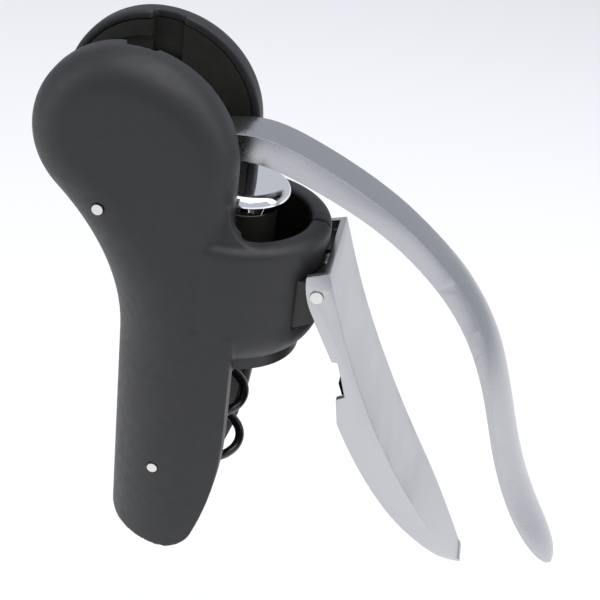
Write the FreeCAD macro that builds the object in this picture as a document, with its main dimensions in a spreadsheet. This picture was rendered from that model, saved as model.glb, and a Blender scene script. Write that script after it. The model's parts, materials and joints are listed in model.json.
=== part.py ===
"""Lever corkscrew: a pistol-shaped body with one cranked lever and one clamp handle.

The lever turns a pair of toothed sectors, the sectors lift a carriage on two racks, and the
carriage holds the worm.  Every size is in millimetres.  +Z runs up the worm's axis, +X points
to the lever's grip, and the origin is on that axis where the bottle's mouth seats.
"""
import FreeCAD, Part
import math
import os
from FreeCAD import Placement, Rotation, Vector

DIMENSIONS = [
    # body
    ("half_width", 23.6), ("skin", 2.2), ("body_top", 80.0), ("leg_length", 59.0),
    ("lobe_x", -27.0), ("lobe_z", 57.0), ("lobe_radius", 23.0), ("crown_radius", 27.0),
    ("wall_edge", 0.3), ("leg_back", 29.2), ("leg_front", 4.1), ("leg_toe", 41.0),
    ("leg_taper", 98.0), ("leg_taper_drop", 34.6),
    ("leg_round", 22.0), ("neck_round", 14.0), ("lobe_round", 9.0), ("wall_round", 8.0),
    # collar round the worm
    ("collar_low", 1.5), ("mouth_z", 37.3), ("collar_x", -1.0),
    ("collar_foot", 11.0), ("collar_foot_rise", 12.0), ("collar_lip", 2.8), ("blend_reach", 9.5),
    ("blend_rise", 9.0),
    ("well_radius", 17.2), ("channel_radius", 17.8), ("seat_depth", 3.5), ("mouth_flare", 1.5),
    # slot between the side walls
    ("slot_half", 12.0), ("stop_half", 10.4), ("groove_half", 13.3), ("groove_x", -24.6),
    ("groove_width", 7.6), ("slot_start", -12.0), ("slot_end", 158.0),
    # lever hub, gears and racks
    ("hub_x", -28.2), ("hub_z", 55.5), ("hub_radius", 10.0), ("axle_radius", 3.5), ("axle_half", 15.5),
    ("gear_module", 1.6), ("gear_teeth", 20), ("gear_width", 3.2), ("gear_inner", 8.0),
    ("backlash", 0.15), ("rack_low", 4.6), ("rack_high", 57.5), ("rack_web", 1.8),
    ("rivet_radius", 1.2), ("rivet_pitch", 6.6),
    # carriage and worm
    ("carriage_low", 28.5), ("carriage_height", 10.1), ("carriage_radius", 8.5),
    ("washer_thick", 0.8), ("stem_radius", 3.8), ("head_radius", 11.4), ("head_low", 39.5),
    ("head_height", 5.5), ("head_round", 2.4), ("socket_radius", 6.8), ("socket_low", 18.0),
    ("socket_high", 27.4), ("clip_thick", 0.8), ("worm_radius", 5.2), ("wire_radius", 1.25),
    ("worm_pitch", 15.2), ("worm_tip", 42.0), ("worm_phase_z", -19.9), ("guide_radius", 7.0),
    # lever
    ("lever_half", 6.0), ("lever_depth", 6.8), ("grip_half", 11.6), ("grip_crown", 4.8),
    # clamp handle
    ("pin_x", 22.7), ("pin_z", 24.8), ("pin_radius", 1.6), ("lug_radius", 2.3),
    ("lug_half", 14.3), ("clamp_half", 16.5), ("clamp_wall", 1.7), ("clamp_swing", 26.0),
    ("clamp_tip", -63.4), ("neck_grip", 14.2), ("jaw_half", 13.4), ("jaw_hollow", 2.2),
    ("jaw_pad", 1.8), ("pad_thick", 2.2),
    # fits
    ("run_gap", 0.05), ("free_gap", 0.3), ("cover_pin_radius", 1.35),
    ("upper_pin_x", -30.8), ("upper_pin_z", 42.0), ("lower_pin_x", -14.0), ("lower_pin_rise", 26.6),
    ("pad_wrap", 62.0), ("pad_low", -52.0), ("pad_high", -4.0),
]

doc = FreeCAD.newDocument("LeverCorkscrew")
sheet = doc.addObject("Spreadsheet::Sheet", "Sizes")
for row, (alias, value) in enumerate(DIMENSIONS, start=1):
    sheet.set(f"A{row}", alias)
    sheet.set(f"B{row}", str(value))
    sheet.setAlias(f"B{row}", alias)
doc.recompute()


def size(alias):
    """The number that the sheet holds under this name."""
    return float(sheet.get(alias))


HUB = (size("hub_x"), size("hub_z"))
PIN = (size("pin_x"), size("pin_z"))
PITCH_RADIUS = size("gear_module") * size("gear_teeth") / 2
ALONG_Y = Rotation(Vector(1, 0, 0), -90)
ALONG_X = Rotation(Vector(0, 1, 0), 90)
UPRIGHT = Rotation()
PARTS = []


# ---------------------------------------------------------------- document helpers
def bind(item, **expressions):
    """Tie properties of a document object to the sheet; __ stands for a dot in a path."""
    for path, expression in expressions.items():
        text = str(expression)
        for alias, _ in sorted(DIMENSIONS, key=lambda pair: -len(pair[0])):
            text = replace_word(text, alias)
        item.setExpression(path.replace("__", "."), text)
    return item


def replace_word(text, alias):
    """Put the sheet's name in front of one whole-word alias."""
    words, word = [], ""
    for letter in text + " ":
        if letter.isalnum() or letter in "_.":
            word += letter
            continue
        words.append(f"Sizes.{word}" if word == alias else word)
        words.append(letter)
        word = ""
    return "".join(words).strip()


def place(item, x=0, y=0, z=0, turn=UPRIGHT):
    """Turn an object and tie its base point to the sheet."""
    item.Placement = Placement(Vector(0, 0, 0), turn)
    return bind(item, Placement__Base__x=x, Placement__Base__y=y, Placement__Base__z=z)


def cylinder(name, radius, height, x=0, y=0, z=0, turn=UPRIGHT):
    item = doc.addObject("Part::Cylinder", name)
    bind(item, Radius=radius, Height=height)
    return place(item, x, y, z, turn)


def cross_cylinder(name, radius, half_length, x, z):
    """A cylinder along Y, centred on y = 0."""
    return cylinder(name, radius, f"2 * ({half_length})", x, f"-({half_length})", z, ALONG_Y)


def side_cylinder(name, radius, near, far, side, x, z):
    """A cylinder along Y between two distances from the middle, on one side (-1 or 1)."""
    start = f"{near}" if side > 0 else f"-({far})"
    return cylinder(name, radius, f"({far}) - ({near})", x, start, z, ALONG_Y)


def box(name, low, high):
    item = doc.addObject("Part::Box", name)
    for prop, a, b in zip(("Length", "Width", "Height"), low, high):
        bind(item, **{prop: f"({b}) - ({a})"})
    return place(item, *low)


def feature(name, shape, placement=None):
    item = doc.addObject("Part::Feature", name)
    item.Shape = shape
    if placement is not None:
        item.Placement = placement
    return item


def cut(name, base, *tools):
    """Take the tools off one after another."""
    item = base
    for number, tool in enumerate(tools, start=1):
        step = doc.addObject("Part::Cut", name if number == len(tools) else f"{name}_{number}")
        step.Base = item
        step.Tool = tool
        item = step
    return item


def fuse(name, *items):
    item = doc.addObject("Part::MultiFuse", name)
    item.Shapes = list(items)
    return item


def common(name, *items):
    item = doc.addObject("Part::MultiCommon", name)
    item.Shapes = list(items)
    return item


def finished(item, label):
    """Name a sub-part after the node it becomes."""
    item.Label = label
    PARTS.append(item)
    return item


def upright(x, z, y=0.0):
    return Vector(x, y, z)


def arc_about(centre, radius, start, end):
    """An arc in the XZ plane; angles in radians, from +X towards +Z."""
    angles = (start, (start + end) / 2, end)
    points = [upright(centre[0] + radius * math.cos(a), centre[1] + radius * math.sin(a))
              for a in angles]
    return Part.Arc(*points).toShape()


def line(a, b):
    return Part.makeLine(upright(*a), upright(*b))


def arc_through(a, b, c):
    return Part.Arc(upright(*a), upright(*b), upright(*c)).toShape()


def closed_edges(edges):
    """Join edges end to end, with straight lines where two ends are apart."""
    joined = []
    for edge, following in zip(edges, edges[1:] + edges[:1]):
        joined.append(edge)
        end, start = edge.valueAt(edge.LastParameter), following.valueAt(following.FirstParameter)
        if end.distanceToPoint(start) > 1e-6:
            joined.append(Part.makeLine(end, start))
    return joined


def profile(name, edges, half_thickness, near=None):
    """Extrude an XZ outline across Y: centred, or between two distances on one side."""
    outline = feature(name + "_outline", Part.Face(Part.Wire(Part.__sortEdges__(closed_edges(edges)))))
    solid = doc.addObject("Part::Extrusion", name)
    solid.Base = outline
    solid.Dir = Vector(0, 1, 0)
    solid.DirMode = "Custom"
    solid.Solid = True
    if near is None:
        solid.Symmetric = True
        return bind(solid, LengthFwd=f"2 * ({half_thickness})")
    bind(solid, LengthFwd=f"({half_thickness}) - ({near})")
    return place(solid, y=near)


def polygon(points):
    return [line(a, b) for a, b in zip(points, points[1:] + points[:1])]


# ---------------------------------------------------------------- body blanks
def body_edges(inset):
    """The side view of the lobe, neck and leg, drawn in by inset all round."""
    lobe = (size("lobe_x"), size("lobe_z"))
    back = size("leg_back")
    reach = size("lobe_radius")
    offset = back + lobe[0]
    hollow = (lobe[1] ** 2 + offset ** 2 - reach ** 2) / (2 * (reach - offset))
    neck = (-back - hollow, 0.0)
    bearing = math.atan2(lobe[1] - neck[1], lobe[0] - neck[0])
    crown = size("crown_radius")
    crown_centre = (size("wall_edge") - crown, size("body_top") - crown)
    front, straight = size("leg_front"), size("leg_length") - size("leg_toe")
    taper = size("leg_taper")
    lean = math.asin(size("leg_taper_drop") / taper)
    taper_centre = (front - taper, -straight)
    corner = (size("leg_length") - straight - size("leg_taper_drop")) / (1 - math.sin(lean))
    tip = (taper_centre[0] + (taper - corner) * math.cos(lean),
           taper_centre[1] - (taper - corner) * math.sin(lean))
    low = -size("leg_length") + inset
    step = size("mouth_z") / 3
    return [
        line((-back + inset, low), (-back + inset, 0)),
        arc_about(neck, hollow + inset, 0, bearing),
        arc_about(lobe, reach - inset, bearing + math.pi, math.pi / 2),
        arc_about(crown_centre, crown - inset, math.pi / 2, 0),
        line((size("wall_edge") - inset, step), (front - inset, step)),
        arc_about(taper_centre, taper - inset, 0, -lean),
        arc_about(tip, corner - inset, -lean, -math.pi / 2),
    ]


def edge_rounding(point, inset):
    """How far the side edges are rounded over at one place of the outline."""
    if point.z < 1:
        radius = size("leg_round")
    elif point.x < size("lobe_x") - size("lobe_radius") / 2 and point.z < size("lobe_z"):
        radius = size("neck_round")
    elif point.x < size("lobe_x") + 2 * inset + 1:
        radius = size("lobe_round")
    else:
        radius = size("wall_round")
    return radius - inset


def body_blank(name, inset):
    """Lobe, neck and leg as one rounded solid, with the collar's bulge in front."""
    shell = profile(name + "_side", body_edges(inset), f"half_width - {inset}")
    doc.recompute()
    rounded = doc.addObject("Part::Fillet", name + "_rounded")
    rounded.Base = shell
    side = size("half_width") - inset
    picked = []
    for number, edge in enumerate(shell.Shape.Edges, start=1):
        first, last = edge.valueAt(edge.FirstParameter), edge.valueAt(edge.LastParameter)
        middle = edge.CenterOfMass
        on_side = abs(abs(first.y) - side) < 1e-6 and abs(first.y - last.y) < 1e-6
        at_front = middle.x > -size("crown_radius") * 0.7 and middle.z < size("mouth_z") / 2
        at_foot = abs(first.z - last.z) < 1e-6 and middle.z < 0
        if on_side and not at_front and not at_foot:
            picked.append((number, edge_rounding(first, inset), edge_rounding(last, inset)))
    rounded.Edges = picked
    collar = collar_blank(name + "_collar", inset)
    return fuse(name, rounded, collar)


def collar_blank(name, inset):
    """The bulge round the worm, turned about an upright axis, with a soft foot and lip."""
    centre, radius = size("collar_x"), size("half_width") + 0.15 - inset
    low, top = size("collar_low") + inset, size("mouth_z") - inset
    foot, rise, lip = size("collar_foot"), size("collar_foot_rise"), size("collar_lip")
    turn = math.radians(45)
    section = [
        line((centre, low), (centre + radius - foot, low)),
        arc_through((centre + radius - foot, low),
                    (centre + radius - foot * (1 - math.sin(turn)), low + rise * (1 - math.cos(turn))),
                    (centre + radius, low + rise)),
        line((centre + radius, low + rise), (centre + radius, top - lip)),
        arc_through((centre + radius, top - lip),
                    (centre + radius - lip + lip * math.cos(turn), top - lip + lip * math.sin(turn)),
                    (centre + radius - lip, top)),
        line((centre + radius - lip, top), (centre, top)),
        line((centre, top), (centre, low)),
    ]
    turned = doc.addObject("Part::Revolution", name + "_bulge")
    turned.Source = feature(name + "_section", Part.Face(Part.Wire(Part.__sortEdges__(section))))
    turned.Axis = Vector(0, 0, 1)
    turned.Base = Vector(centre, 0, 0)
    turned.Angle = 360
    turned.Solid = True
    return fuse(name, turned, collar_blend(name + "_blend", inset))


def collar_blend(name, inset):
    """The hollow that leads from the collar's rim up into the walls."""
    reach, rise = size("blend_reach"), size("blend_rise")
    edge, rim = size("wall_edge") - inset, size("mouth_z") - inset
    floor = rim - 6
    mid = (edge + 0.25 * reach, rim + 0.25 * rise)
    side = profile(name + "_side", [line((-12, floor), (edge + reach, floor)),
                                    line((edge + reach, floor), (edge + reach, rim)),
                                    arc_through((edge + reach, rim), mid, (edge, rim + rise)),
                                    line((edge, rim + rise), (-12, rim + rise)),
                                    line((-12, rim + rise), (-12, floor))], f"half_width - {inset}")
    plan = doc.addObject("Part::Cone", name + "_plan")
    bind(plan, Radius1=f"half_width - 0.6 - {inset}", Radius2=f"half_width - 3.6 - {inset}",
         Height="blend_rise + 6")
    place(plan, x="collar_x", z=f"mouth_z - {inset} - 6")
    return common(name, side, plan)


def slot_tools(prefix, channel_top="seat_depth"):
    """Everything cut through both covers and chassis: slot, well and bottle channel."""
    start, end = math.radians(size("slot_start")), math.radians(size("slot_end"))
    far = 2.5 * size("lobe_radius")
    sweep = [line(HUB, (HUB[0] + far * math.cos(start), HUB[1] + far * math.sin(start))),
             arc_about(HUB, far, start, end)]
    step = size("groove_x") - size("groove_width") / 2
    full = profile(prefix + "_sweep", sweep, "slot_half")
    keep = box(prefix + "_stop_keep", (-100, -50, 0), (step, 50, 200))
    wide = cut(prefix + "_sweep_wide", full, keep)
    narrow = profile(prefix + "_sweep_narrow", sweep, "stop_half")
    pocket = cross_cylinder(prefix + "_gear_pocket", "gear_module * (gear_teeth / 2 + 1) + 0.6",
                            "slot_half", "hub_x", "hub_z")
    lane = box(prefix + "_lane", ("-well_radius - 1", "-slot_half", "seat_depth"),
               ("wall_edge + 0.5", "slot_half", "2 * body_top"))
    groove = box(prefix + "_groove", ("groove_x - groove_width / 2", "-groove_half", "lobe_z"),
                 ("groove_x + groove_width / 2", "groove_half", "2 * body_top"))
    front = box(prefix + "_front", ("wall_edge", "-half_width", "seat_depth"),
                ("2 * half_width", "half_width", "2 * mouth_z"))
    bore = cylinder(prefix + "_bore", "well_radius", "2 * mouth_z", z="seat_depth")
    well = common(prefix + "_well", bore, front)
    flare = doc.addObject("Part::Cone", prefix + "_flare")
    bind(flare, Radius1="well_radius - mouth_flare", Radius2="well_radius + mouth_flare * 1.6",
         Height="mouth_flare * 2.6")
    place(flare, z="mouth_z - mouth_flare * 1.6")
    mouth = common(prefix + "_mouth", flare, front)
    channel = cylinder(prefix + "_channel", "channel_radius", f"{channel_top} + 2 * leg_length",
                       z="-2 * leg_length")
    gate = box(prefix + "_gate", (0, "-channel_radius", "-2 * leg_length"),
               ("2 * half_width", "channel_radius", "collar_low"))
    return [wide, narrow, pocket, lane, groove, well, mouth, channel, gate]


def lug_edges(grow=0.0):
    """The tongue that carries the clamp pin, seen from the side."""
    radius = size("lug_radius") + grow
    root = size("well_radius") - 1
    return [
        line((root, PIN[1] - 12 - grow), (PIN[0] - 0.5, PIN[1] - 9 - grow)),
        arc_about(PIN, radius, -0.35, math.pi / 2),
        line((PIN[0] - 0.5, PIN[1] + radius), (root, PIN[1] + radius)),
    ]


def spring_room(name):
    """The gap in the middle of the lug that the torsion spring sits in."""
    return box(name, ("pin_x - 3.2", -4.2, "pin_z - 12"), ("pin_x + 6", 4.2, "pin_z + 6"))


def cover_pin_places():
    """Where the short pins fasten a cover to the chassis, with how deep its face lies there."""
    return [("upper", "upper_pin_x", "upper_pin_z", 0.0), ("lower", "lower_pin_x", "lower_pin_rise - leg_length", 0.75)]


# ---------------------------------------------------------------- body pieces
outer_blank = body_blank("outer_blank", 0)
inner_blank = body_blank("inner_blank", size("skin"))


def make_covers():
    lug_room = profile("lug_room", lug_edges(size("free_gap")), f"lug_half + {size('free_gap')}")
    skin_solid = cut("cover_skin", outer_blank, lug_room, spring_room("cover_spring_room"),
                     *slot_tools("cover", "collar_low + 2.5 * skin"), inner_blank)
    for name, low, high in (("front_cover", "-2 * half_width", 0), ("rear_cover", 0, "2 * half_width")):
        half = box(name + "_half", (-100, low, -100), (100, high, 150))
        side = -1 if name.startswith("front") else 1
        shell = common(name + "_shell", skin_solid, half)
        holes = [side_cylinder(f"{name}_{which}_hole", "cover_pin_radius", "slot_half + 2",
                               "half_width + 5", side, x, z)
                 for which, x, z, _ in cover_pin_places()]
        finished(cut(name + "_solid", shell, *holes), name)
        for which, x, z, depth in cover_pin_places():
            pin = side_cylinder(f"{name}_{which}_pin", "cover_pin_radius", "slot_half + 2",
                                f"half_width + 0.1 - {depth}", side, x, z)
            finished(pin, f"{name.split('_')[0]}_{which}_cover_pin")


def make_chassis():
    lug = profile("lug", lug_edges(), "lug_half")
    body = fuse("chassis_body", inner_blank, lug)
    pin_hole = cross_cylinder("clamp_pin_hole", "pin_radius + run_gap", "half_width", "pin_x", "pin_z")
    bush_seat = cross_cylinder("bush_seat", "axle_radius + 2", "axle_half + 0.5", "hub_x", "hub_z")
    bush_flange = cross_cylinder("bush_flange_seat", "axle_radius + 3.6", "slot_half + 0.4",
                                 "hub_x", "hub_z")
    holes = []
    for side, word in ((-1, "front"), (1, "rear")):
        for which, x, z, _ in cover_pin_places():
            holes.append(side_cylinder(f"chassis_{word}_{which}_hole", "cover_pin_radius",
                                       "slot_half + 2", "half_width", side, x, z))
    finished(cut("chassis_solid", body, *slot_tools("chassis"), spring_room("chassis_spring_room"),
                 pin_hole, bush_seat, bush_flange, *holes), "chassis")


def make_seat():
    """The stop that the bottle's mouth meets, its guide bush, and the leg's rubber neck pad."""
    ring = cylinder("seat_ring", "channel_radius", "seat_depth")
    hole = cylinder("seat_hole", "guide_radius + 2", "2 * seat_depth", z="-seat_depth / 2")
    finished(cut("seat", ring, hole), "bottle_seat")
    sleeve = cylinder("guide_sleeve", "guide_radius + 2", "seat_depth")
    flange = cylinder("guide_flange", "guide_radius + 3.2", 0.8, z="seat_depth")
    bore = cylinder("guide_bore", "guide_radius", "3 * seat_depth", z="-seat_depth")
    finished(cut("guide", fuse("guide_blank", sleeve, flange), bore), "worm_guide")
    wrap = math.radians(size("pad_wrap"))
    outer, inner = size("channel_radius"), size("channel_radius") - size("pad_thick")
    corners = [Vector(radius * math.cos(math.pi + turn), radius * math.sin(math.pi + turn), 0)
               for radius, turn in ((outer, -wrap), (outer, 0), (outer, wrap),
                                    (inner, wrap), (inner, 0), (inner, -wrap))]
    wire = Part.Wire([Part.Arc(*corners[:3]).toShape(), Part.makeLine(corners[2], corners[3]),
                      Part.Arc(*corners[3:]).toShape(), Part.makeLine(corners[5], corners[0])])
    pad = doc.addObject("Part::Extrusion", "neck_pad_solid")
    pad.Base = feature("neck_pad_outline", Part.Face(wire))
    pad.Dir = Vector(0, 0, 1)
    pad.DirMode = "Custom"
    pad.Solid = True
    bind(pad, LengthFwd="pad_high - pad_low")
    finished(place(pad, z="pad_low"), "neck_pad")


def make_bushes():
    for side, word in ((-1, "front"), (1, "rear")):
        sleeve = side_cylinder(f"{word}_bush_sleeve", "axle_radius + 2", "slot_half - 0.1",
                               "axle_half + 0.5", side, "hub_x", "hub_z")
        flange = side_cylinder(f"{word}_bush_flange", "axle_radius + 3.6", "slot_half - 0.4",
                               "slot_half + 0.4", side, "hub_x", "hub_z")
        bore = cross_cylinder(f"{word}_bush_bore", "axle_radius + run_gap", "half_width",
                              "hub_x", "hub_z")
        finished(cut(f"{word}_bush", fuse(f"{word}_bush_blank", sleeve, flange), bore),
                 f"{word}_axle_bush")


# ---------------------------------------------------------------- gears and racks
def involute_flank(base, start, end, phase, hand, steps=6):
    """Points of one tooth flank from radius start to radius end, about the origin."""
    points = []
    for step in range(steps):
        radius = start + (end - start) * step / (steps - 1)
        angle = math.sqrt(max((radius / base) ** 2 - 1, 0))
        turn = phase + hand * (angle - math.atan(angle))
        points.append(upright(radius * math.cos(turn), radius * math.sin(turn)))
    return points


def tooth(centre_angle):
    """One involute tooth of the sector, as a face about the origin."""
    module, pressure = size("gear_module"), math.radians(20)
    base, tip = PITCH_RADIUS * math.cos(pressure), PITCH_RADIUS + module
    root = PITCH_RADIUS - 1.25 * module
    half = (math.pi * module / 2 - size("backlash")) / (2 * PITCH_RADIUS)
    spread = half + math.tan(pressure) - pressure
    low = max(base, root)
    left = involute_flank(base, low, tip, centre_angle - spread, 1)
    right = involute_flank(base, low, tip, centre_angle + spread, -1)
    inner = root - module / 2
    foot = [upright(inner * math.cos(centre_angle + turn), inner * math.sin(centre_angle + turn))
            for turn in (-spread, spread)]
    tip_mid = upright(tip * math.cos(centre_angle), tip * math.sin(centre_angle))
    flanks = []
    for points in (left, right):
        curve = Part.BSplineCurve()
        curve.interpolate(points)
        flanks.append(curve.toShape())
    edges = [Part.makeLine(foot[0], left[0]), flanks[0], Part.Arc(left[-1], tip_mid, right[-1]).toShape(),
             flanks[1], Part.makeLine(right[0], foot[1]), Part.makeLine(foot[1], foot[0])]
    return Part.Face(Part.Wire(Part.__sortEdges__(edges)))


def make_gears():
    """A toothed sector each side of the lever's hub; one tooth points along +X at rest."""
    step = 2 * math.pi / size("gear_teeth")
    width, inner = size("gear_width"), size("gear_inner")
    teeth = [tooth(-step * count).extrude(Vector(0, width, 0)) for count in range(-1, 11)]
    for side, word in ((-1, "front"), (1, "rear")):
        start = inner if side > 0 else -inner - width
        ring = feature(f"{word}_gear_teeth", Part.makeCompound(teeth),
                       Placement(upright(*HUB, start), UPRIGHT))
        web = side_cylinder(f"{word}_gear_web", "gear_module * (gear_teeth / 2 - 1.25)", "gear_inner",
                            "gear_inner + gear_width", side, "hub_x", "hub_z")
        boss = side_cylinder(f"{word}_gear_boss", "hub_radius", "lever_half", "gear_inner + 0.1",
                             side, "hub_x", "hub_z")
        holes = [cross_cylinder(f"{word}_gear_bore", "axle_radius", "half_width", "hub_x", "hub_z")]
        for sign in (-1, 1):
            holes.append(cross_cylinder(f"{word}_gear_rivet_{sign + 1}", "rivet_radius", "half_width",
                                        f"hub_x + {sign} * rivet_pitch", "hub_z"))
        finished(cut(f"{word}_gear_solid", fuse(f"{word}_gear_blank", web, boss, ring), *holes),
                 f"{word}_gear")


def rack_points():
    """The toothed bar seen from the side: a tooth space faces the hub's centre at rest."""
    module = size("gear_module")
    pitch, slope = math.pi * module, math.tan(math.radians(20))
    line_x = HUB[0] + PITCH_RADIUS
    tip_x, root_x = line_x - module, line_x + 1.25 * module
    half = pitch / 4 - size("backlash") / 2
    low, high = size("rack_low"), size("rack_high")
    points = [(root_x + size("rack_web"), low), (root_x, low)]
    first = math.ceil((low - HUB[1]) / pitch - 0.5 + 0.5)
    last = math.floor((high - HUB[1]) / pitch - 0.5 - 0.5)
    for count in range(first, last + 1):
        middle = HUB[1] + (count + 0.5) * pitch
        tip_half, root_half = half - module * slope, half + 1.25 * module * slope
        points += [(root_x, middle - root_half), (tip_x, middle - tip_half),
                   (tip_x, middle + tip_half), (root_x, middle + root_half)]
    return points + [(root_x, high), (root_x + size("rack_web"), high)]


def make_carriage():
    """The block that carries the worm, its two racks and their screws."""
    back = HUB[0] + PITCH_RADIUS + 1.25 * size("gear_module") + size("rack_web")
    block = box("carriage_block", (back, "-gear_inner - gear_width", "carriage_low"),
                (0, "gear_inner + gear_width", "carriage_low + carriage_height"))
    round_front = cylinder("carriage_front", "carriage_radius", "carriage_height", z="carriage_low")
    bore = cylinder("carriage_bore", "stem_radius + run_gap", "2 * carriage_height",
                    z="carriage_low - 1")
    heights = ["carriage_low + 2.6", "carriage_low + carriage_height - 2.6"]
    middle = size("gear_inner") + size("gear_width") / 2
    reach = back - size("rack_web")
    screws, holes = [], []
    for side in (-1, 1):
        for number, height in enumerate(heights):
            for kind, group in (("screw", screws), ("hole", holes)):
                group.append(cylinder(f"rack_{kind}_{side + 1}_{number}", 0.9, 6.5, reach + 0.2,
                                      side * middle, height, ALONG_X))
    finished(cut("carriage_solid", fuse("carriage_blank", block, round_front), bore, *holes),
             "carriage")
    for side, word in ((-1, "front"), (1, "rear")):
        near, far = size("gear_inner"), size("gear_inner") + size("gear_width")
        bar = profile(f"{word}_rack_bar", polygon(rack_points()), max(side * near, side * far),
                      min(side * near, side * far))
        finished(cut(f"{word}_rack_solid", bar, *holes), f"{word}_rack")
    finished(fuse("rack_screw_set", *screws), "rack_screws")
    disc = cylinder("washer_disc", "carriage_radius - 0.5", "washer_thick",
                    z="carriage_low + carriage_height")
    hole = cylinder("washer_hole", "stem_radius + run_gap", 4, z="carriage_low + carriage_height - 1")
    finished(cut("washer", disc, hole), "thrust_washer")


# ---------------------------------------------------------------- worm
def make_worm():
    """Flat-topped head and stem, its clip and socket, and the pointed right-handed worm."""
    radius, soft = size("head_radius"), size("head_round")
    low, top = size("head_low"), size("head_low") + size("head_height")
    turn = math.radians(45)
    section = [
        line((0, top), (radius - soft, top)),
        arc_through((radius - soft, top), (radius - soft + soft * math.sin(turn),
                                           top - soft + soft * math.cos(turn)), (radius, top - soft)),
        line((radius, top - soft), (radius - 2.2, low)),
        line((size("stem_radius"), low), (size("stem_radius"), size("socket_low") + 1.5)),
        line((0, size("socket_low") + 1.5), (0, top)),
    ]
    face = feature("head_section", Part.Face(Part.Wire(Part.__sortEdges__(closed_edges(section)[:-1]))))
    head = doc.addObject("Part::Revolution", "head_solid")
    head.Source = face
    head.Axis = Vector(0, 0, 1)
    head.Angle = 360
    head.Solid = True
    finished(head, "worm_head")
    ring = cylinder("clip_ring", "stem_radius + 2.4", "clip_thick", z="socket_high + 0.1")
    hole = cylinder("clip_hole", "stem_radius", 4, z="socket_high - 1")
    finished(cut("clip", ring, hole), "stem_clip")
    socket = cylinder("socket_body", "socket_radius", "socket_high - socket_low", z="socket_low")
    socket_bore = cylinder("socket_bore", "stem_radius", "socket_high - socket_low",
                           z="socket_low + 1.5")
    pitch, coil, wire = size("worm_pitch"), size("worm_radius"), size("wire_radius")
    start, end = -size("worm_tip") + wire, size("socket_low") + 1.2
    helix = Part.makeHelix(pitch, end - start, coil)
    lead = math.degrees(math.atan2(pitch, 2 * math.pi * coil))
    ring_wire = Part.Wire(Part.makeCircle(wire, Vector(coil, 0, 0), Vector(0, 1, 0)))
    ring_wire.rotate(Vector(coil, 0, 0), Vector(1, 0, 0), lead)
    rod = Part.Wire(helix).makePipeShell([ring_wire], True, True)
    point = Part.makeCone(0.15, wire, 3 * wire, Vector(coil, -3 * wire, 0), Vector(0, 1, 0))
    point.rotate(Vector(coil, 0, 0), Vector(1, 0, 0), lead)
    phase = 360 * (start - size("worm_phase_z")) / pitch
    worm = feature("worm_solid", Part.Solid(rod.fuse(point).removeSplitter().Shells[0]),
                   Placement(Vector(0, 0, start), Rotation(Vector(0, 0, 1), phase)))
    finished(worm, "worm")
    finished(cut("socket", socket, socket_bore, worm), "worm_socket")


# ---------------------------------------------------------------- lever
# Inner face of the lever, then edge thickness, half width and crown, from root to tip.
LEVER_STATIONS = [
    (-19.9, 53.4, 7.0, 0.0, 0.0), (-1.3, 52.4, 6.8, 0.0, 0.0), (12.5, 49.9, 6.6, 0.0, 0.0),
    (25.0, 44.8, 6.1, 0.0, 0.02), (36.0, 38.9, 5.7, 0.0, 0.04), (46.5, 31.1, 5.4, 0.04, 0.08),
    (56.3, 21.6, 4.8, 0.3, 0.25), (63.4, 11.2, 3.5, 0.68, 0.55), (68.6, -1.0, 2.0, 0.94, 0.85),
    (72.9, -14.2, 1.4, 1.0, 1.0), (79.0, -29.2, 1.2, 0.97, 0.97), (86.6, -42.4, 1.1, 0.8, 0.85),
    (92.6, -50.2, 1.0, 0.38, 0.6), (96.4, -54.6, 0.8, -0.35, 0.2),
]


def lever_section(centre, tangent, depth, half, crown):
    """One closed section: flat inner face, short edges, and a crowned outer face."""
    normal = upright(-tangent[1], tangent[0])
    across = Vector(0, 1, 0)
    base = upright(*centre)
    corners = [base - across * half, base + across * half, base + across * half + normal * depth,
               base + normal * (depth + crown), base - across * half + normal * depth]
    return Part.Wire([Part.makeLine(corners[0], corners[1]), Part.makeLine(corners[1], corners[2]),
                      Part.Arc(*corners[2:]).toShape(), Part.makeLine(corners[4], corners[0])])


def make_lever():
    root, grip = size("lever_half"), size("grip_half")
    wires = []
    for number, (x, z, depth, widen, crown) in enumerate(LEVER_STATIONS):
        before = LEVER_STATIONS[max(number - 1, 0)]
        after = LEVER_STATIONS[min(number + 1, len(LEVER_STATIONS) - 1)]
        run = math.hypot(after[0] - before[0], after[1] - before[1])
        tangent = ((after[0] - before[0]) / run, (after[1] - before[1]) / run)
        half = root + (grip - root) * widen
        scale = size("lever_depth") / LEVER_STATIONS[1][2]
        wires.append(lever_section((x, z), tangent, depth * scale, half,
                                   max(0.12, crown * size("grip_crown"))))
    arm = feature("lever_arm_loft", Part.makeLoft(wires, True, False))
    hub = cross_cylinder("lever_hub", "hub_radius", "lever_half", "hub_x", "hub_z")
    holes = [cross_cylinder("lever_bore", "axle_radius", "half_width", "hub_x", "hub_z")]
    rivets = []
    for sign in (-1, 1):
        holes.append(cross_cylinder(f"lever_rivet_hole_{sign + 1}", "rivet_radius", "half_width",
                                    f"hub_x + {sign} * rivet_pitch", "hub_z"))
        rivets.append(cross_cylinder(f"gear_rivet_{sign + 1}", "rivet_radius",
                                     "gear_inner + gear_width + 0.1",
                                     f"hub_x + {sign} * rivet_pitch", "hub_z"))
    finished(cut("lever_solid", fuse("lever_blank", arm, hub), *holes), "lever_arm")
    finished(fuse("gear_rivet_set", *rivets), "gear_rivets")
    finished(cross_cylinder("axle", "axle_radius", "axle_half", "hub_x", "hub_z"), "lever_axle")


# ---------------------------------------------------------------- clamp handle
CLAMP_OUTER = [(25.1, 31.4), (36.4, 0.8), (57.9, -38.6), (66.5, -51.8), (71.6, -59.6)]
CLAMP_INNER = [(69.8, -62.4), (66.0, -60.2), (50.0, -41.4), (32.3, -11.8), (31.1, -4.2),
               (33.2, -3.0), (30.2, 6.8), (28.6, 6.9), (22.1, 19.3), (19.9, 25.3), (19.5, 29.6)]


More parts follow.
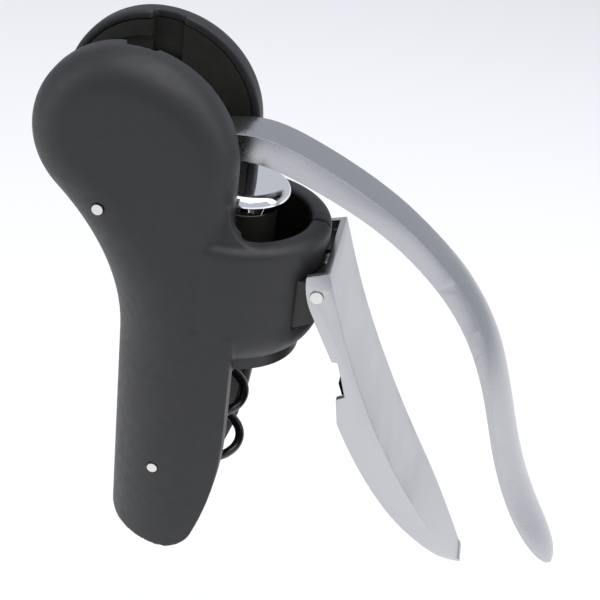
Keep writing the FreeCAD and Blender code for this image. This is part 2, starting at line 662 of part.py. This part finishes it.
def clamp_edges():
    """Side view of the handle: outer face, tip, the edge that faces the neck, and the ear."""
    outer, inner = CLAMP_OUTER, CLAMP_INNER
    return [
        arc_through(*outer[:3]), arc_through(*outer[2:]),
        arc_through(outer[-1], (72.2, -62.2), inner[0]),
        line(inner[0], inner[1]), arc_through(*inner[1:4]),
        line(inner[3], inner[4]), line(inner[4], inner[5]), line(inner[5], inner[6]),
        line(inner[6], inner[7]), line(inner[7], inner[8]), arc_through(*inner[8:]),
    ]


# Half width of the handle, as a share of the full half width, at heights down to the tip.
CLAMP_TAPER = [(-12.0, 1.0), (-21.0, 0.955), (-28.6, 0.905), (-38.6, 0.806), (-48.4, 0.62),
               (-55.0, 0.43), (-60.5, 0.22)]


def clamp_plan(name, inset):
    """The handle's outline seen from the front: parallel sides and a rounded, tapered tip."""
    half, tip = size("clamp_half") - inset, size("clamp_tip") + inset
    shares = [Vector(0, half * share, z + 1.2 * inset) for z, share in CLAMP_TAPER]
    curve = Part.BSplineCurve()
    curve.interpolate(shares + [Vector(0, 0, tip)]
                      + [Vector(0, -point.y, point.z) for point in reversed(shares)])
    top, low, ear = PIN[1] + 20, shares[0].z, 1.6 * size("clamp_wall")
    corners = [Vector(0, -half, low), Vector(0, -half, PIN[1] + ear), Vector(0, -half + ear, top),
               Vector(0, half - ear, top), Vector(0, half, PIN[1] + ear), Vector(0, half, low)]
    sides = [Part.makeLine(a, b) for a, b in zip(corners, corners[1:])]
    plan = doc.addObject("Part::Extrusion", name)
    plan.Base = feature(name + "_outline", Part.Face(Part.Wire([curve.toShape()] + sides)))
    plan.Dir = Vector(1, 0, 0)
    plan.DirMode = "Custom"
    plan.Solid = True
    plan.LengthFwd = 200
    return plan


def web_edges():
    """Side view of the room inside the handle, a wall's thickness in from its outer face."""
    lean = math.radians(30)
    shift = (size("clamp_wall") * math.cos(lean), size("clamp_wall") * math.sin(lean))
    face = [(x - shift[0], z - shift[1]) for x, z in CLAMP_OUTER[:4]]
    ceiling = face[0][1] + 10
    return [arc_through(*face[:3]), line(face[2], face[3]), line(face[3], (face[3][0] - 8, face[3][1])),
            line((face[3][0] - 8, face[3][1]), (0, -size("leg_length") / 3)),
            line((0, -size("leg_length") / 3), (0, ceiling)),
            line((0, ceiling), (face[0][0] - 3, ceiling)), line((face[0][0] - 3, ceiling), face[0])]


def inner_face(share, depth):
    """A point on the line that the jaw's face follows, depth deeper into the handle."""
    (x0, z0), (x1, z1) = JAW_FACE
    run = math.hypot(x1 - x0, z1 - z0)
    across = (-(z1 - z0) / run, (x1 - x0) / run)
    return (x0 + share * (x1 - x0) + across[0] * depth, z0 + share * (z1 - z0) + across[1] * depth)


JAW_FACE = [(30.9, -2.6), (40.4, -27.2)]


def make_clamp():
    """Pressed handle on its pin, with the jaw, its two rubber pads, the spring and washers."""
    blank = common("clamp_blank", profile("clamp_side", clamp_edges(), "clamp_half"),
                   clamp_plan("clamp_plan", 0))
    room = profile("clamp_room", web_edges(), "clamp_half - clamp_wall")
    hollow = common("clamp_hollow", room, clamp_plan("clamp_inner_plan", size("clamp_wall")))
    pin_hole = cross_cylinder("clamp_hole", "pin_radius", "half_width", "pin_x", "pin_z")
    finished(cut("clamp_solid", blank, hollow, pin_hole), "clamp_handle")
    finished(cross_cylinder("clamp_pin_solid", "pin_radius", "clamp_half + 0.5", "pin_x", "pin_z"),
             "clamp_pin")
    thick = size("jaw_pad")
    jaw_side = polygon([inner_face(0, thick), inner_face(1, thick), inner_face(1, 30),
                        inner_face(0, 30)])
    jaw_bar = profile("jaw_bar", jaw_side, "jaw_half")
    room_copy = profile("jaw_room", web_edges(), "jaw_half")
    doc.recompute()
    saddle = feature("jaw_saddle", saddle_shape(thick))
    finished(cut("jaw_solid", common("jaw_clipped", jaw_bar, room_copy), saddle), "clamp_jaw")
    for name, low, high in (("upper", 0.0, 0.46), ("lower", 0.54, 1.0)):
        side = polygon([inner_face(low, 0), inner_face(high, 0), inner_face(high, 12),
                        inner_face(low, 12)])
        bar = profile(f"{name}_pad_bar", side, "jaw_half - 0.4")
        outer = feature(f"{name}_pad_back", saddle_shape(thick))
        inner = feature(f"{name}_pad_face", saddle_shape(0))
        band = common(f"{name}_pad_band", bar, outer)
        finished(cut(f"{name}_pad_solid", band, inner), f"{name}_clamp_pad")
    for side, word in ((-1, "front"), (1, "rear")):
        ring = side_cylinder(f"{word}_washer_ring", "pin_radius + 1", "lug_half + 0.05",
                             "clamp_half - clamp_wall - 0.05", side, "pin_x", "pin_z")
        hole = cross_cylinder(f"{word}_washer_hole", "pin_radius + 0.02", "half_width",
                              "pin_x", "pin_z")
        finished(cut(f"{word}_washer", ring, hole), f"{word}_clamp_washer")
    make_spring()


def saddle_shape(depth):
    """A cylinder along the jaw's face, sunk so that its wall makes the hollow of the jaw."""
    radius = size("neck_grip") + 1.8 + depth
    axis_depth = size("jaw_hollow") - radius + depth
    low, high = inner_face(-0.3, axis_depth), inner_face(1.3, axis_depth)
    run = math.hypot(high[0] - low[0], high[1] - low[1])
    along = Vector((high[0] - low[0]) / run, 0, (high[1] - low[1]) / run)
    return Part.makeCylinder(radius, run, upright(*low), along)


def make_spring():
    """Torsion spring round the clamp pin: four turns, one leg on the lug, one on the handle."""
    wire, coil, turns, pitch = 0.32, size("pin_radius") + 0.45, 4, 1.25
    helix = Part.makeHelix(pitch, turns * pitch, coil)
    ring = Part.Wire(Part.makeCircle(wire, Vector(coil, 0, 0), Vector(0, 1, 0)))
    rod = Part.Wire(helix).makePipeShell([ring], True, True)
    lower = Part.makeCylinder(wire, 4.5, Vector(coil, 0.0, 0), Vector(0, -1, 0))
    upper = Part.makeCylinder(wire, 4.0, Vector(coil, 0.0, turns * pitch), Vector(0, 1, 0))
    spring = rod.fuse([lower, upper]).removeSplitter()
    middle = Vector(PIN[0], turns * pitch / 2, PIN[1])
    turn = Rotation(Vector(1, 0, 0), 90).multiply(Rotation(Vector(0, 0, 1), 180))
    finished(feature("spring_solid", Part.Solid(spring.Shells[0]), Placement(middle, turn)),
             "clamp_spring")


make_covers()
make_chassis()
make_seat()
make_bushes()
make_gears()
make_carriage()
make_worm()
make_lever()
make_clamp()

doc.recompute()


def check_document():
    """Stop if any object failed, or any sub-part is empty or invalid."""
    for item in doc.Objects:
        if "Invalid" in item.State or "Error" in item.State:
            raise SystemExit(f"{item.Name} did not compute: {item.State}")
    for item in PARTS:
        if item.Shape.isNull() or not item.Shape.isValid() or item.Shape.Volume <= 0:
            raise SystemExit(f"{item.Label} has no valid solid")


def export_parts():
    os.makedirs("parts", exist_ok=True)
    for item in PARTS:
        item.Shape.exportStep(os.path.join("parts", item.Label + ".step"))
        box_of = item.Shape.BoundBox
        print(f"{item.Label:24s} solids {len(item.Shape.Solids)}  volume {item.Shape.Volume:9.1f}  "
              f"x {box_of.XMin:6.1f}..{box_of.XMax:6.1f}  y {box_of.YMin:6.1f}..{box_of.YMax:6.1f}  "
              f"z {box_of.ZMin:6.1f}..{box_of.ZMax:6.1f}")


check_document()
export_parts()
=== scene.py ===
"""Looks for the lever corkscrew: procedural materials and a few refined pieces round the CAD frame."""
import json
import math

import bmesh
import bpy
from mathutils import Matrix, Vector

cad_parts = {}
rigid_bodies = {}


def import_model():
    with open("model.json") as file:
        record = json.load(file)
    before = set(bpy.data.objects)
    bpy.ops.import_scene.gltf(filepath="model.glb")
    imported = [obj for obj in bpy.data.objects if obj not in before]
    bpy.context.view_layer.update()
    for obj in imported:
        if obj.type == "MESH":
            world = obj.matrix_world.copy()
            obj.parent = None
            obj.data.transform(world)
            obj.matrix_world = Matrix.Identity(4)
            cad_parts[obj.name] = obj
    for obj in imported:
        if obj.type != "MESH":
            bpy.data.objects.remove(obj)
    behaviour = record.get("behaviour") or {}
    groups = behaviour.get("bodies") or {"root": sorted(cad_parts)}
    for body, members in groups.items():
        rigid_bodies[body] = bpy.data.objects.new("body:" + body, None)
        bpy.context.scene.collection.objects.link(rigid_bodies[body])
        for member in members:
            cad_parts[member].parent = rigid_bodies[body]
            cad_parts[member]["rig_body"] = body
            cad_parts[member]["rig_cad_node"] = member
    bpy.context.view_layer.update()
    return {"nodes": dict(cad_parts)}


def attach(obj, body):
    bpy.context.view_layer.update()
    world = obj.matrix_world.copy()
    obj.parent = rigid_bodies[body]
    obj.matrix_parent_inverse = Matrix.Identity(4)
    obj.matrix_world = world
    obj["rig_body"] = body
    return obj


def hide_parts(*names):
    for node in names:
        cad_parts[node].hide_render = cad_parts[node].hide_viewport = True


MM = 0.001
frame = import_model()
NODES = frame["nodes"]


# ---------------------------------------------------------------- materials
NOISE_ROUGHNESS = 0.55
NOISE_LOW, NOISE_HIGH = 0.3, 0.7    # most of a noise texture's values lie between these
PLASTIC_BUMP, METAL_BUMP = 0.00004, 0.00001


def new_material(name, base, metallic=0.0, roughness=0.5, **inputs):
    mat = bpy.data.materials.new(name)
    mat.use_nodes = True
    shader = mat.node_tree.nodes["Principled BSDF"]
    shader.inputs["Base Color"].default_value = (*base, 1)
    shader.inputs["Metallic"].default_value = metallic
    shader.inputs["Roughness"].default_value = roughness
    for key, value in inputs.items():
        shader.inputs[key.replace("_", " ")].default_value = value
    return mat


def noise(mat, scale, detail, stretch=(1, 1, 1)):
    """A noise texture in the object's own space, stretched along chosen axes."""
    tree = mat.node_tree
    coords = tree.nodes.new("ShaderNodeTexCoord")
    mapping = tree.nodes.new("ShaderNodeMapping")
    mapping.inputs["Scale"].default_value = stretch
    texture = tree.nodes.new("ShaderNodeTexNoise")
    texture.inputs["Scale"].default_value = scale
    texture.inputs["Detail"].default_value = detail
    texture.inputs["Roughness"].default_value = NOISE_ROUGHNESS
    tree.links.new(coords.outputs["Object"], mapping.inputs["Vector"])
    tree.links.new(mapping.outputs["Vector"], texture.inputs["Vector"])
    return texture.outputs["Fac"]


def spread(mat, source, low, high, target):
    """Map a 0 to 1 value onto low to high and feed it to one of the shader's inputs."""
    tree = mat.node_tree
    ramp = tree.nodes.new("ShaderNodeMapRange")
    ramp.inputs["From Min"].default_value = NOISE_LOW
    ramp.inputs["From Max"].default_value = NOISE_HIGH
    ramp.inputs["To Min"].default_value = low
    ramp.inputs["To Max"].default_value = high
    tree.links.new(source, ramp.inputs["Value"])
    tree.links.new(ramp.outputs["Result"], tree.nodes["Principled BSDF"].inputs[target])


def tint(mat, source, dark, light):
    """Mix two base colours by a 0 to 1 value."""
    tree = mat.node_tree
    mix = tree.nodes.new("ShaderNodeMix")
    mix.data_type = "RGBA"
    mix.inputs["A"].default_value = (*dark, 1)
    mix.inputs["B"].default_value = (*light, 1)
    tree.links.new(source, mix.inputs["Factor"])
    tree.links.new(mix.outputs["Result"], tree.nodes["Principled BSDF"].inputs["Base Color"])


def bump(mat, source, strength, distance):
    tree = mat.node_tree
    node = tree.nodes.new("ShaderNodeBump")
    node.inputs["Strength"].default_value = strength
    node.inputs["Distance"].default_value = distance
    tree.links.new(source, node.inputs["Height"])
    tree.links.new(node.outputs["Normal"], tree.nodes["Principled BSDF"].inputs["Normal"])


def plastic(name, dark, light, roughness, grain):
    mat = new_material(name, light, roughness=roughness)
    tint(mat, noise(mat, 45, 3), dark, light)
    spread(mat, noise(mat, 420, 3), roughness - 0.05, roughness + 0.05, "Roughness")
    bump(mat, noise(mat, 2600, 2), grain, PLASTIC_BUMP)
    return mat


def metal(name, base, roughness, brushed=(1, 1, 1), depth=0.02):
    mat = new_material(name, base, metallic=1.0, roughness=roughness)
    shade = tuple(channel * 0.97 for channel in base)
    tint(mat, noise(mat, 900, 4, brushed), shade, base)
    spread(mat, noise(mat, 2200, 3, brushed), roughness - 0.03, roughness + 0.04, "Roughness")
    bump(mat, noise(mat, 4200, 2, brushed), depth, METAL_BUMP)
    return mat


CHARCOAL = plastic("charcoal soft touch", (0.0115, 0.0115, 0.0125), (0.0145, 0.0145, 0.0155),
                   0.52, 0.05)
DARK = plastic("dark olive plastic", (0.012, 0.013, 0.009), (0.016, 0.017, 0.012), 0.48, 0.10)
SEAT = plastic("black seat plastic", (0.010, 0.010, 0.010), (0.014, 0.014, 0.014), 0.45, 0.08)
NYLON = plastic("pale nylon", (0.42, 0.41, 0.37), (0.48, 0.47, 0.43), 0.42, 0.05)
RUBBER = plastic("black rubber", (0.008, 0.008, 0.008), (0.013, 0.013, 0.013), 0.68, 0.25)
LEVER = metal("satin aluminium", (0.47, 0.475, 0.49), 0.27, (1, 6, 1), 0.01)
HANDLE = metal("fine satin steel", (0.52, 0.525, 0.535), 0.32, (4, 9, 0.5), 0.02)
PIN = metal("pin steel", (0.72, 0.71, 0.68), 0.30)
GEAR = metal("gear steel", (0.42, 0.42, 0.43), 0.34)
SPRING = metal("spring wire", (0.40, 0.40, 0.41), 0.28)
CHROME = new_material("mirror chrome", (0.90, 0.91, 0.93), metallic=1.0, roughness=0.035)
spread(CHROME, noise(CHROME, 700, 2), 0.025, 0.05, "Roughness")
WORM = new_material("slick black coating", (0.010, 0.010, 0.011), roughness=0.22, Coat_Weight=0.4)
spread(WORM, noise(WORM, 500, 3), 0.18, 0.28, "Roughness")

FINISH = {
    CHARCOAL: ["front_cover", "rear_cover"],
    DARK: ["chassis", "carriage", "worm_socket", "clamp_jaw"],
    SEAT: ["bottle_seat"],
    NYLON: ["worm_guide", "front_axle_bush", "rear_axle_bush", "thrust_washer"],
    RUBBER: ["neck_pad", "upper_clamp_pad", "lower_clamp_pad"],
    LEVER: ["lever_arm"],
    HANDLE: ["clamp_handle"],
    PIN: ["front_upper_cover_pin", "front_lower_cover_pin", "rear_upper_cover_pin",
          "rear_lower_cover_pin", "clamp_pin", "lever_axle", "gear_rivets", "rack_screws",
          "front_clamp_washer", "rear_clamp_washer"],
    GEAR: ["front_gear", "rear_gear", "front_rack", "rear_rack"],
    SPRING: ["clamp_spring", "stem_clip"],
    CHROME: ["worm_head"],
    WORM: ["worm"],
}
for finish, names in FINISH.items():
    for node in names:
        NODES[node].data.materials.clear()
        NODES[node].data.materials.append(finish)


# ---------------------------------------------------------------- refined pieces
MELT_VOXEL, MELT_PASSES, MELT_FACTOR = 0.45 * MM, 6, 0.5
LEVER_BEVEL, HANDLE_BEVEL = 0.35 * MM, 0.3 * MM
BEVEL_SEGMENTS, BEVEL_FROM = 3, math.radians(32)
WELD_DISTANCE, FLAT_WITHIN = 0.002 * MM, math.radians(0.6)


def show_instead(piece, node, body):
    """Shade a piece smooth, let it ride its body and show it in the CAD node's place."""
    for face in piece.data.polygons:
        face.use_smooth = True
    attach(piece, body)
    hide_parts(node)


def softened(node, material, body):
    """A copy of a CAD node with its hard edges melted slightly, shown in the node's place."""
    piece = NODES[node].copy()
    piece.data = NODES[node].data.copy()
    piece.name = node + "_soft"
    piece.parent = None
    bpy.context.scene.collection.objects.link(piece)
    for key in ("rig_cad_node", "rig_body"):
        if key in piece:
            del piece[key]
    remesh = piece.modifiers.new("melt", "REMESH")
    remesh.mode = "VOXEL"
    remesh.voxel_size = MELT_VOXEL
    smooth = piece.modifiers.new("smooth", "SMOOTH")
    smooth.factor = MELT_FACTOR
    smooth.iterations = MELT_PASSES
    graph = bpy.context.evaluated_depsgraph_get()
    mesh = bpy.data.meshes.new_from_object(piece.evaluated_get(graph))
    piece.modifiers.clear()
    piece.data = mesh
    mesh.materials.clear()
    mesh.materials.append(material)
    show_instead(piece, node, body)


def edged(node, width, material, body):
    """A copy of a CAD node with a narrow rounded bevel on its sharp edges."""
    mesh = bpy.data.meshes.new(node + "_edged")
    work = bmesh.new()
    work.from_mesh(NODES[node].data)
    bmesh.ops.remove_doubles(work, verts=work.verts, dist=WELD_DISTANCE)
    bmesh.ops.dissolve_limit(work, angle_limit=FLAT_WITHIN, verts=work.verts, edges=work.edges)
    work.to_mesh(mesh)
    work.free()
    piece = bpy.data.objects.new(node + "_edged", mesh)
    bpy.context.scene.collection.objects.link(piece)
    bevel = piece.modifiers.new("bevel", "BEVEL")
    bevel.width = width
    bevel.segments = BEVEL_SEGMENTS
    bevel.limit_method = "ANGLE"
    bevel.angle_limit = BEVEL_FROM
    bevel.use_clamp_overlap = True
    bevel.harden_normals = True
    mesh.materials.append(material)
    show_instead(piece, node, body)


for cover in ("front_cover", "rear_cover"):
    softened(cover, CHARCOAL, "body")
edged("lever_arm", LEVER_BEVEL, LEVER, "lever")
edged("clamp_handle", HANDLE_BEVEL, HANDLE, "clamp")


# ---------------------------------------------------------------- stage
FLOOR_HALF, FLOOR_LEVEL = 6.0, -0.19
SKY, SKY_STRENGTH = (0.56, 0.585, 0.64), 0.95


def area_light(name, place, target, size, power):
    """A soft rectangular lamp at a place, turned to face its target."""
    lamp = bpy.data.lights.new(name, "AREA")
    lamp.shape = "RECTANGLE"
    lamp.size, lamp.size_y = size
    lamp.energy = power
    holder = bpy.data.objects.new(name, lamp)
    holder.location = place
    holder.rotation_euler = (Vector(target) - Vector(place)).to_track_quat("-Z", "Y").to_euler()
    bpy.context.scene.collection.objects.link(holder)


def build_stage():
    """A plain pale floor, a key light above, a narrow light each side and an even sky."""
    mesh = bpy.data.meshes.new("floor")
    corners = [(x * FLOOR_HALF, y * FLOOR_HALF, FLOOR_LEVEL)
               for x, y in ((-1, -1), (1, -1), (1, 1), (-1, 1))]
    mesh.from_pydata(corners, [], [(0, 1, 2, 3)])
    floor = bpy.data.objects.new("floor", mesh)
    paper = new_material("pale paper", (0.97, 0.965, 0.955), roughness=0.9)
    spread(paper, noise(paper, 3, 2), 0.88, 0.92, "Roughness")
    mesh.materials.append(paper)
    bpy.context.scene.collection.objects.link(floor)
    area_light("key", (0.25, -0.15, 1.15), (0, 0, 0), (1.3, 1.3), 12.0)
    area_light("right", (0.85, -0.10, 0.45), (0, 0, 0.03), (0.25, 0.8), 1.6)
    area_light("left", (-0.80, -0.30, 0.30), (0, 0, 0.03), (0.2, 0.9), 1.6)
    world = bpy.data.worlds.new("studio")
    world.use_nodes = True
    sky = world.node_tree.nodes["Background"]
    sky.inputs["Color"].default_value = (*SKY, 1)
    sky.inputs["Strength"].default_value = SKY_STRENGTH
    bpy.context.scene.world = world
    bpy.context.scene.view_settings.view_transform = "Standard"


# The camera's own right and backward directions, and its distances in mm along its axes
RIGHT = Vector((0.98056, 0.16163, 0.11130))
BACK = Vector((0.08121, -0.85053, 0.51963))
AIM = Vector((0, 0, 18.6))
ACROSS, ABOVE, AWAY = 16.216, -7.645, 320.38
LENS = 74.31


def build_camera():
    data = bpy.data.cameras.new("camera")
    data.sensor_width = 36.0
    data.lens = LENS
    data.clip_start, data.clip_end = 0.01, 50
    camera = bpy.data.objects.new("camera", data)
    right = RIGHT.normalized()
    back = (BACK - right * BACK.dot(right)).normalized()
    up = back.cross(right)
    centre = AIM + ACROSS * right + ABOVE * up + AWAY * back
    turn = Matrix((right, up, back)).transposed().to_4x4()
    camera.matrix_world = Matrix.Translation(centre * MM) @ turn
    bpy.context.scene.collection.objects.link(camera)
    bpy.context.scene.camera = camera


build_stage()
build_camera()
